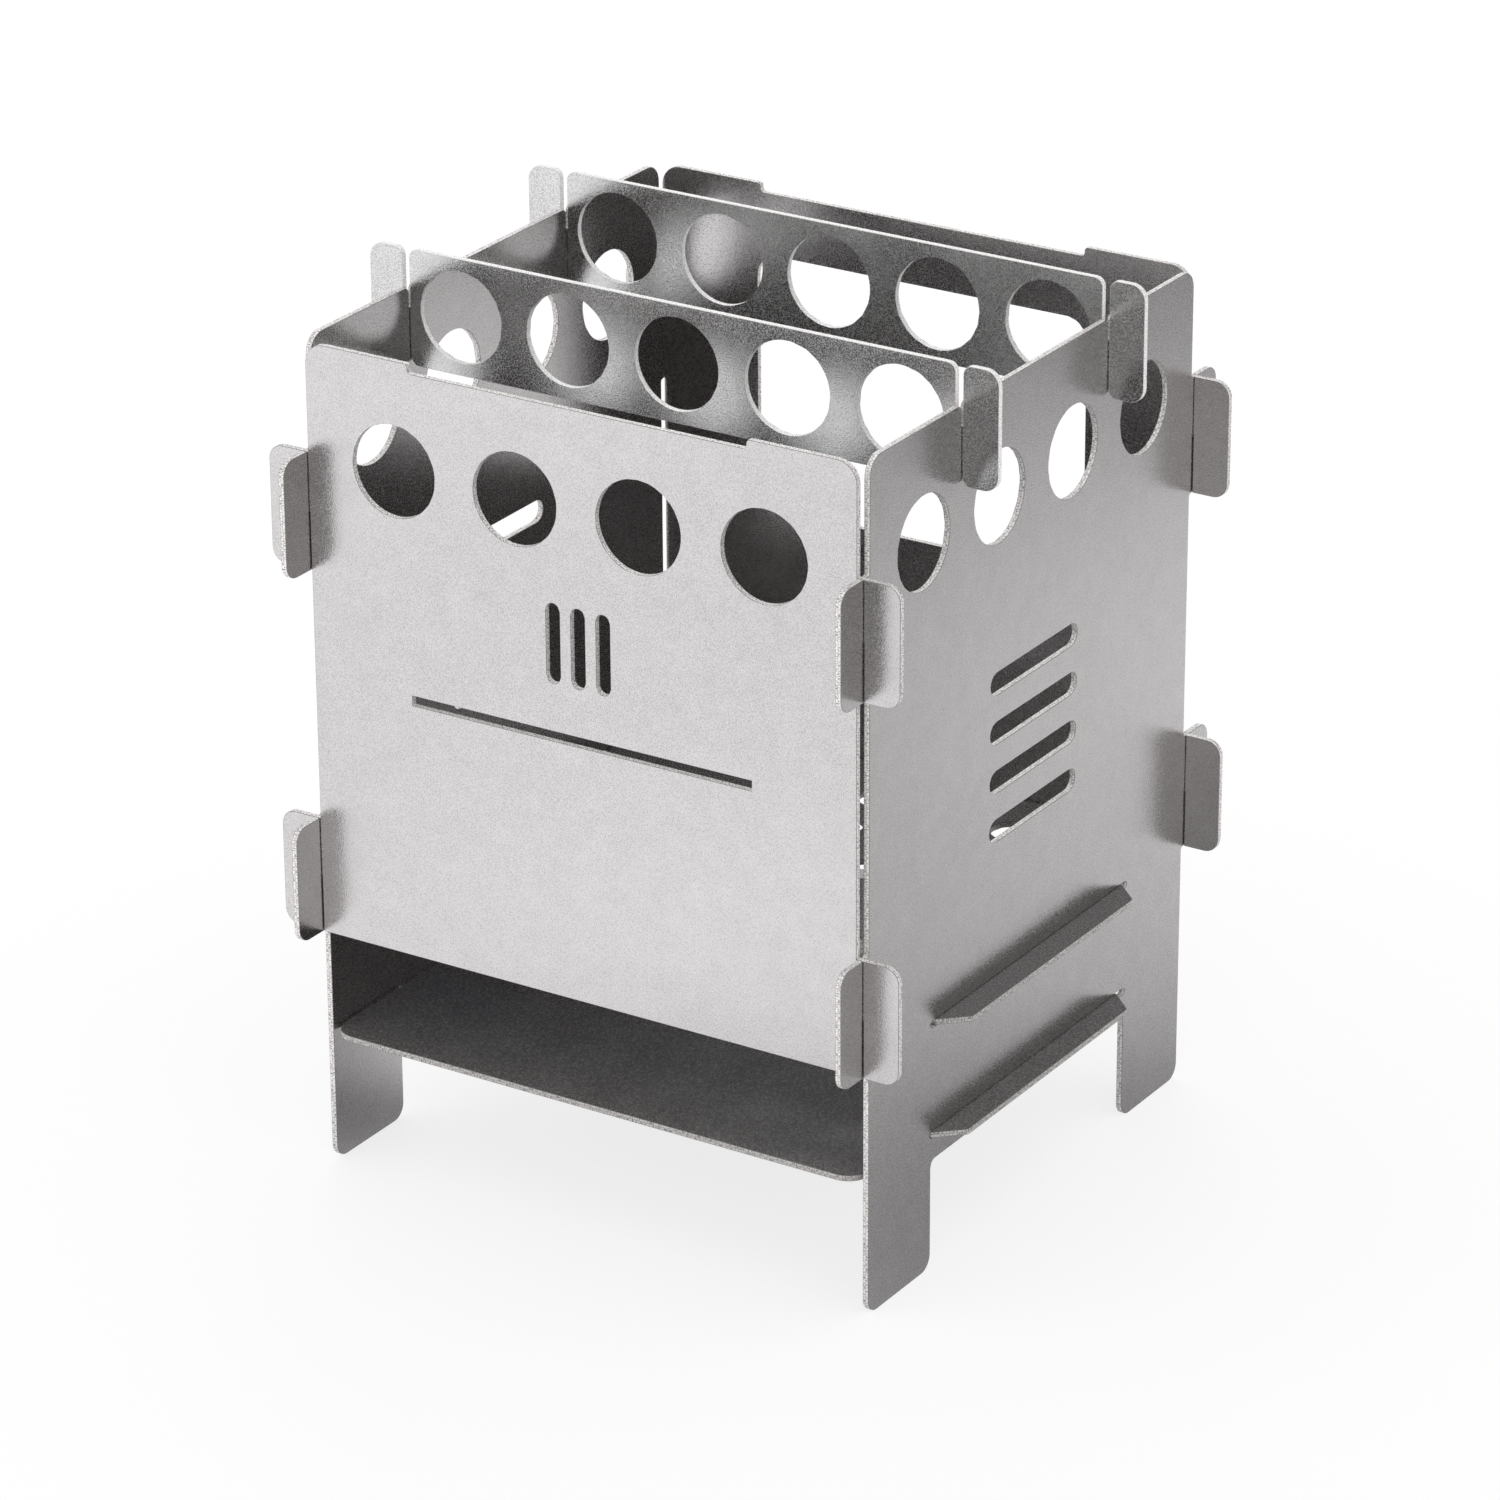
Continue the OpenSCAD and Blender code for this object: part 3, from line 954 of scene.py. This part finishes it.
    def floor_finish(self) -> bpy.types.Material:
        """Builds the floor's finish.

        To the camera it is plain white with a share of the board's own shade in it. In the metal it
        glows by where it lies.

        Returns:
            The material.
        """
        made, tree = empty_material("white_board")
        place = add_node(tree, "ShaderNodeTexCoord").outputs["Object"]
        light: Any = self.floor_light
        for glow in self.floor_glows:
            light = glow.add_to(tree, light, place)
        out = add_node(tree, "ShaderNodeVectorMath", {0: place}, operation="LENGTH").outputs["Value"]
        shade = add_node(tree, "ShaderNodeMapRange", {
            "Value": out, "From Min": self.shade_from, "From Max": self.shade_to,
            "To Min": self.shade, "To Max": 1.0}, interpolation_type="SMOOTHSTEP")
        shaded = add_node(tree, "ShaderNodeMath", {0: light, 1: shade.outputs[0]}, operation="MULTIPLY")
        board = add_node(tree, "ShaderNodeBsdfDiffuse", {"Color": linear(self.board_hex)})
        white = add_node(tree, "ShaderNodeEmission", {"Color": linear(WHITE_HEX), "Strength": 1.0})
        glowing = add_node(tree, "ShaderNodeEmission", {
            "Color": linear(self.tint_hex), "Strength": shaded.outputs[0]})
        seen = add_node(tree, "ShaderNodeLightPath").outputs["Is Camera Ray"]
        white_share = add_node(tree, "ShaderNodeMath", {0: seen, 1: self.white_share},
                               operation="MULTIPLY")
        shown = add_node(tree, "ShaderNodeMixShader", {
            0: white_share.outputs[0], 1: board.outputs[0], 2: white.outputs[0]})
        both = add_node(tree, "ShaderNodeMixShader", {
            0: self.in_mirror(tree), 1: shown.outputs[0], 2: glowing.outputs[0]})
        add_node(tree, "ShaderNodeOutputMaterial", {"Surface": both.outputs[0]})
        return made


@dataclass(frozen=True)
class PhotoCamera:
    """The camera that stands where the photograph's did, level to a third of a degree.

    Attributes:
        target: the point that its place is measured from.
        distance: distance from there.
        azimuth: direction of its place, in degrees from -Y towards +X.
        elevation: direction of its place above the horizon, in degrees.
        look_azimuth: the same two angles of the line that it looks along.
        look_elevation: see look_azimuth.
        roll: turn round that line, in degrees.
        focal_px: focal length in pixels of a frame of frame_px.
        frame_px: width of the frame.
        sensor_mm: width of the sensor, which the frame's width fills.
        near: distance nearer than which nothing is shown.
    """

    target: tuple[float, float, float] = (0.0, 0.0, 0.060)
    distance: float = 0.82628
    azimuth: float = 32.382
    elevation: float = 23.015
    look_azimuth: float = 32.454
    look_elevation: float = 23.551
    roll: float = -0.321
    focal_px: float = 6581.8
    frame_px: float = 1500.0
    sensor_mm: float = 36.0
    near: float = 0.01

    @staticmethod
    def backward(azimuth: float, elevation: float) -> Vector:
        """The unit direction from the stove to a camera at these angles."""
        a, e = math.radians(azimuth), math.radians(elevation)
        return Vector((math.sin(a) * math.cos(e), -math.cos(a) * math.cos(e), math.sin(e)))

    def build(self) -> None:
        """Adds the camera and makes it the scene's."""
        lens = bpy.data.cameras.new("photo_camera")
        lens.sensor_width = self.sensor_mm
        lens.lens = self.focal_px / self.frame_px * self.sensor_mm
        lens.clip_start = self.near
        back = self.backward(self.look_azimuth, self.look_elevation)
        a, r = math.radians(self.look_azimuth), math.radians(self.roll)
        level = Vector((math.cos(a), math.sin(a), 0.0))
        over = back.cross(level)
        right = level * math.cos(r) + over * math.sin(r)
        up = over * math.cos(r) - level * math.sin(r)
        place = Vector(self.target) + self.distance * self.backward(self.azimuth, self.elevation)
        turn = Matrix((right, up, back)).transposed().to_4x4()
        camera = bpy.data.objects.new("photo_camera", lens)
        bpy.context.scene.collection.objects.link(camera)
        camera.matrix_world = Matrix.Translation(place) @ turn
        bpy.context.scene.camera = camera


def main() -> None:
    """Builds the camera, the stove and the studio."""
    logging.basicConfig(level=logging.INFO, format="%(name)s: %(message)s")
    bpy.context.scene.view_settings.view_transform = "Standard"
    PhotoCamera().build()
    for assembly in (SideWalls(), Panels(), PotBars(), Plates()):
        pieces = assembly.build()
        LOG.info("%s: %d pieces", type(assembly).__name__, len(pieces))
    Studio().build()


if __name__ == "__main__":
    main()
